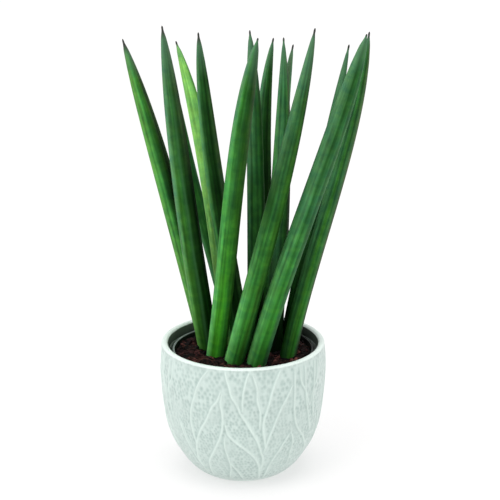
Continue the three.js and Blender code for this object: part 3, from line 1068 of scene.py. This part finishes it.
def coir_finish(settings):
    """Dry brown fibres, some darker than others."""
    finish = Finish("coir")
    tone = finish.value("tone")
    grain = finish.noise(finish.position(), 900, 3)
    shade = finish.mixed(finish.ranged(tone, 0, 1, 0, 0.85), settings.coir, settings.peat)
    base = finish.varied(shade, grain, 0.8, 1.15)
    finish.constant(Roughness=0.8, Specular_IOR_Level=0.2)
    return finish.finish(base)


# ---------------------------------------------------------------- leaves

def slice_of(triangles, height):
    """Centre and area of a solid's cut at a height, from its triangles sorted by z."""
    low, middle, high = triangles[:, 0], triangles[:, 1], triangles[:, 2]
    cut = (low[:, 2] < height) & (high[:, 2] > height)
    low, middle, high = low[cut], middle[cut], high[cut]
    first = low + (high - low) * ((height - low[:, 2]) / (high[:, 2] - low[:, 2]))[:, None]
    upper = middle[:, 2] <= height
    start = np.where(upper[:, None], middle, low)
    end = np.where(upper[:, None], high, middle)
    rise = np.where(end[:, 2] > start[:, 2], end[:, 2] - start[:, 2], 1)
    second = start + (end - start) * ((height - start[:, 2]) / rise)[:, None]
    rough = (first.mean(0) + second.mean(0)) / 2
    a, b = first - rough, second - rough
    areas = np.abs(a[:, 0] * b[:, 1] - a[:, 1] * b[:, 0]) / 2
    centre = rough + ((a + b) / 3 * areas[:, None]).sum(0) / areas.sum()
    return centre[:2], areas.sum()


def triangles_of(node):
    """A solid's triangles, each with its corners from lowest to highest."""
    solid = frame["nodes"][node]
    solid.data.calc_loop_triangles()
    corners = np.array([triangle.vertices[:] for triangle in solid.data.loop_triangles])
    triangles = place_of(solid)[corners]
    order = np.argsort(triangles[:, :, 2], axis=1)
    return np.take_along_axis(triangles, order[:, :, None], axis=1)


def leaf_stem(node, height):
    """Where a leaf stands at a height, and its radius there."""
    centre, area = slice_of(triangles_of(node), height)
    return centre[0], centre[1], math.sqrt(area / math.pi)


class LeafPath:
    """A leaf's middle line and its radius from foot to tip, read from its solid."""

    FACETS = 3.0372  # area of the solid's 14-sided section for a radius of 1

    def __init__(self, node):
        triangles = triangles_of(node)
        self.foot = triangles[:, :, 2].min()
        tip = triangles.reshape(-1, 3)[triangles[:, :, 2].reshape(-1).argmax()]
        self.top = tip[2]
        heights = np.linspace(self.foot + 5 * MM, self.top - 3 * MM, 90)
        cuts = [slice_of(triangles, height) for height in heights]
        centres = np.array([centre for centre, area in cuts])
        self.x = np.polyfit(heights, centres[:, 0], 3)
        self.y = np.polyfit(heights, centres[:, 1], 3)
        slopes = self.slopes(heights)
        upright = 1 / np.sqrt(1 + (slopes**2).sum(1))
        radii = np.sqrt(np.array([area for centre, area in cuts]) * upright / self.FACETS)
        self.heights = np.append(heights, self.top)
        self.radii = np.append(radii, 0)

    def slopes(self, heights):
        """Sideways steps in x and y for each metre of height."""
        return np.column_stack([np.polyval(np.polyder(line), heights) for line in (self.x, self.y)])

    def points(self, heights):
        """The middle line's places at heights."""
        return np.column_stack([np.polyval(self.x, heights), np.polyval(self.y, heights), heights])

    def directions(self, heights):
        """The way the leaf points at heights, as unit vectors."""
        along = np.column_stack([self.slopes(heights), np.ones(len(heights))])
        return along / np.linalg.norm(along, axis=1)[:, None]

    def radius(self, heights):
        """Radius at heights, its facets smoothed away below the tip."""
        spread = np.arange(-8, 9) * MM
        near = [np.interp(heights + step, self.heights, self.radii) for step in spread]
        weights = np.exp(-((spread / (5 * MM)) ** 2))
        smooth = np.average(near, axis=0, weights=weights)
        exact = np.interp(heights, self.heights, self.radii)
        blend = np.clip((self.top - heights) / (25 * MM) - 0.5, 0, 1)
        return exact + (smooth - exact) * blend


def straight_spear(name, settings):
    """A straight round rod one unit tall, with rings enough to bend and taper."""
    deselect()
    bpy.ops.mesh.primitive_cylinder_add(vertices=settings.sides, radius=1, depth=1, location=(0, 0, 0.5),
                                        end_fill_type="TRIFAN")
    spear = bpy.context.object
    spear.name = name
    spear.data.name = name
    settle(spear)
    cut_long_edges(spear, 2, settings.rings)
    return spear


def line_depths(lines, angles, heights, settings):
    """How deep the lines along a leaf cut in at each vertex, as shares of the usual groove."""
    depth = np.zeros(len(angles))
    for number, (middle, deep) in enumerate(lines):
        wander = 2.5 * np.sin(heights * 31 + number * 2.1) + 1.5 * np.sin(heights * 83 + number)
        apart = (angles - middle - wander + 180) % 360 - 180
        depth += deep * np.exp(-((apart / math.degrees(settings.groove_width)) ** 2))
    return depth


def tones_over(rows, angles, shares, settings):
    """The leaf's colour at each vertex, painted light and shade included, blended across it and then along it
    between its rows of tones.
    """
    across = np.sin(np.radians(angles))
    layers = []
    for row in rows:
        tones = np.array([getattr(settings, tone)[:] for tone in row.split()])
        layers.append(np.column_stack([np.interp(across, LOOK_ACROSS, tones[:, i]) for i in range(3)]))
    crown, middle, base = layers
    high = np.clip((shares - LOOK_SHARES[1]) / (LOOK_SHARES[0] - LOOK_SHARES[1]), 0, 1)[:, None]
    low = np.clip((LOOK_SHARES[1] - shares) / (LOOK_SHARES[1] - LOOK_SHARES[2]), 0, 1)[:, None]
    return middle + (crown - middle) * high + (base - middle) * low


def lay_leaf(spear, node, settings):
    """Bends and tapers a straight rod onto a leaf of the frame, cuts its lines and colours it."""
    path = LeafPath(node)
    place = place_of(spear)
    angles = np.degrees(np.arctan2(place[:, 0], -place[:, 1]))
    reach = np.hypot(place[:, 0], place[:, 1])
    shares = 1 - (1 - place[:, 2]) ** RING_CROWDING
    heights = path.foot + (path.top - path.foot) * shares
    needle = settings.needle * np.clip((path.top - heights) / NEEDLE_RISE, 0, 1) ** 0.5
    radius = np.maximum(path.radius(heights), needle)
    above_mix = np.clip((heights - settings.collar + NECK_START) / NECK_RISE, 0, 1)
    radius *= 1 - NECK + NECK * np.sqrt(1 - (1 - above_mix) ** 2)
    radius[shares > 0.99999] = 0
    depth = line_depths(LEAF_LINES[node], angles, heights, settings)
    fade = np.clip((1 - shares) / LINE_FADE, 0, 1) * np.clip(radius / FULL_LINE_RADIUS, 0, 1)
    radius -= settings.groove * depth * fade
    points = path.points(heights)
    along = path.directions(heights)
    right = np.array([1, 0, 0]) - along * along[:, :1]
    right /= np.linalg.norm(right, axis=1)[:, None]
    forward = np.cross(right, along)
    sine, cosine = np.sin(np.radians(angles)), np.cos(np.radians(angles))
    out = right * sine[:, None] + forward * cosine[:, None]
    laid = points + out * (radius * reach)[:, None]
    laid[:, :2] = np.clip(laid[:, :2], CAD_BOX[0][:2], CAD_BOX[1][:2])
    set_place(spear, laid)
    upright = along[:, 2].mean()
    core = CORE_RADIUS * reach
    straight = np.column_stack([core * sine, core * cosine, (heights - path.foot) / upright])
    store(spear, "straight", straight)
    store(spear, "line", np.clip(depth * fade, -1, 1))
    from_tip = (path.top - heights) / upright / MM
    dried, greyed = LEAF_TIPS[node]
    store(spear, "to_green", np.minimum(from_tip / dried, 3))
    store(spear, "to_plain", np.minimum((from_tip - dried) / greyed, 1))
    # The tones across and along the leaf, painted light and shade included.
    base = tones_over(LEAF_LOOKS[node], angles, shares, settings)
    store(spear, "blade", np.column_stack([base, np.ones(len(base))]))
    weld(spear)


def leaf_skin(name, settings):
    """Waxy leaf skin: soft cross bands, streaks, blots, lines with painted shade in the grooves and a painted
    highlight on the ridges, a greyed crown and a dried tip.
    """
    finish = Finish(name)
    blade = finish.attribute("blade").outputs["Color"]
    straight = finish.attribute("straight").outputs["Vector"]
    line = finish.value("line")
    to_green = finish.value("to_green")
    to_plain = finish.value("to_plain")
    streak = finish.stretched(straight, 215, 6, 4, 0.62)
    hair = finish.stretched(straight, 620, 24, 3, 0.6)
    blot = finish.stretched(straight, 130, 62, 3, 0.6)
    band = finish.stretched(straight, 75, 135, 3, 0.5, 0.7)
    warm = finish.mixed(1.0, blade, (1.0, 1.0, 0.84), "MULTIPLY")
    cool = finish.mixed(1.0, blade, (0.66, 0.8, 0.86), "MULTIPLY")
    base = finish.mixed(finish.ranged(band, 0.34, 0.64, 0, 1), cool, warm)
    for fleck, dark, light in ((streak, 0.66, 1.5), (hair, 0.84, 1.2), (blot, 0.78, 1.26)):
        base = finish.varied(base, fleck, dark, light)
    # Painted shade darkens the grooves, and a painted highlight in the sage tone lightens the ridges.
    base = finish.varied(base, line, 1, 0.6, 0, 1)
    base = finish.mixed(finish.ranged(line, -1, 0, 0.6, 0), base, settings.sage)
    base = finish.mixed(finish.ranged(to_plain, 0, 1, 0.55, 0), base, settings.crown)
    dried = finish.maths("ADD", to_green, finish.ranged(streak, 0.3, 0.7, -0.25, 0.25))
    base = finish.mixed(finish.ranged(dried, 0.6, 1.4, 1, 0), base, settings.tip)
    roughness = finish.ranged(streak, 0.3, 0.7, settings.roughness - 0.05, settings.roughness + 0.1)
    normal = finish.bumped(streak, 0.2, 0.25 * MM)
    normal = finish.bumped(hair, 0.08, 0.1 * MM, normal)
    finish.constant(Specular_IOR_Level=0.03)
    return finish.finish(base, roughness, normal)


class SNAKE_PLANT_OT_leaves(Operator):
    """Grow the fourteen spear leaves along the frame's leaves."""

    bl_idname = "snake_plant.leaves"
    bl_label = "Spear leaves"

    def execute(self, context):
        settings = context.scene.snake_plant_leaves
        skins = {}
        for node in sorted(LEAF_LOOKS):
            slot = SLOTS[node]
            if slot not in skins:
                skins[slot] = leaf_skin(slot, settings)
            spear = straight_spear("spear_" + node, settings)
            lay_leaf(spear, node, settings)
            spear.data.materials.append(skins[slot])
            bpy.ops.object.shade_smooth()
            finished(spear, slot, node)
        return {"FINISHED"}


# ---------------------------------------------------------------- stage

def soft_light(name, spot, size, watts):
    """A large square light aimed at the plant."""
    bpy.ops.object.light_add(type="AREA", location=spot)
    light = bpy.context.object
    light.name = name
    light.data.shape = "SQUARE"
    light.data.size = size
    light.data.energy = watts
    light.rotation_euler = (AIM - Vector(spot)).to_track_quat("-Z", "Y").to_euler()


def floor_finish(settings):
    """Matt floor that shines by itself, a little more further away, to stay white in the picture."""
    finish = Finish("studio_floor")
    finish.constant(Base_Color=FLOOR_TONE, Roughness=0.9, Specular_IOR_Level=0.0,
                    Emission_Color=(1, 1, 1, 1))
    away = finish.node("VectorMath", operation="LENGTH")
    finish.link(finish.position(), away.inputs[0])
    glow = finish.ranged(away.outputs["Value"], *GLOW_SPAN, settings.glow, settings.far_glow)
    finish.link(glow, finish.shader.inputs["Emission Strength"])
    return finish.material


class SNAKE_PLANT_OT_studio(Operator):
    """Set the pale floor, the soft lights and the camera."""

    bl_idname = "snake_plant.studio"
    bl_label = "Studio"

    def execute(self, context):
        settings = context.scene.snake_plant_studio
        deselect()
        bpy.ops.mesh.primitive_plane_add(size=settings.floor_size, location=(0, 0, 0))
        floor = bpy.context.object
        floor.name = "studio_floor"
        floor.data.materials.append(floor_finish(settings))
        for name, spot, size in LIGHTS:
            soft_light(name + "_light", spot, size, getattr(settings, name))
        world = bpy.data.worlds.new("white_surround")
        world.use_nodes = True
        surround = world.node_tree.nodes["Background"].inputs
        surround["Color"].default_value = (1, 1, 1, 1)
        surround["Strength"].default_value = settings.daylight
        context.scene.world = world
        bpy.ops.object.camera_add(location=CAMERA_PLACE, rotation=(CAMERA_TILT, 0, 0))
        camera = bpy.context.object
        camera.name = "photo_camera"
        camera.data.sensor_width = 36
        camera.data.lens = settings.focal
        context.scene.camera = camera
        context.scene.view_settings.view_transform = "Standard"
        return {"FINISHED"}


class SNAKE_PLANT_PT_panel(Panel):
    """The plant's pieces and their settings."""

    bl_label = "Potted Snake Plant"
    bl_idname = "SNAKE_PLANT_PT_panel"
    bl_space_type = "VIEW_3D"
    bl_region_type = "UI"
    bl_category = "Snake Plant"

    def draw(self, context):
        for operator, settings in STEPS:
            box = self.layout.box()
            box.operator(operator)
            group = getattr(context.scene, settings)
            for name in group.bl_rna.properties.keys():
                if name not in {"rna_type", "name"}:
                    box.prop(group, name)


STEPS = [
    ("snake_plant.studio", "snake_plant_studio"),
    ("snake_plant.glazed_pot", "snake_plant_glazed_pot"),
    ("snake_plant.grower_pot", "snake_plant_grower_pot"),
    ("snake_plant.bark_mix", "snake_plant_bark_mix"),
    ("snake_plant.leaves", "snake_plant_leaves"),
]
SETTINGS = [StudioSettings, GlazedPotSettings, GrowerPotSettings, BarkMixSettings, LeafSettings]
CLASSES = SETTINGS + [
    SNAKE_PLANT_OT_studio,
    SNAKE_PLANT_OT_glazed_pot,
    SNAKE_PLANT_OT_grower_pot,
    SNAKE_PLANT_OT_bark_mix,
    SNAKE_PLANT_OT_leaves,
    SNAKE_PLANT_PT_panel,
]


def register():
    for made in CLASSES:
        bpy.utils.register_class(made)
    for (operator, name), group in zip(STEPS, SETTINGS):
        setattr(bpy.types.Scene, name, PointerProperty(type=group))


def unregister():
    for operator, name in STEPS:
        delattr(bpy.types.Scene, name)
    for made in reversed(CLASSES):
        bpy.utils.unregister_class(made)


def main():
    """Registers the add-on and builds every piece in order."""
    register()
    for operator, name in STEPS:
        group, action = operator.split(".")
        getattr(getattr(bpy.ops, group), action)()


if __name__ == "__main__":
    main()
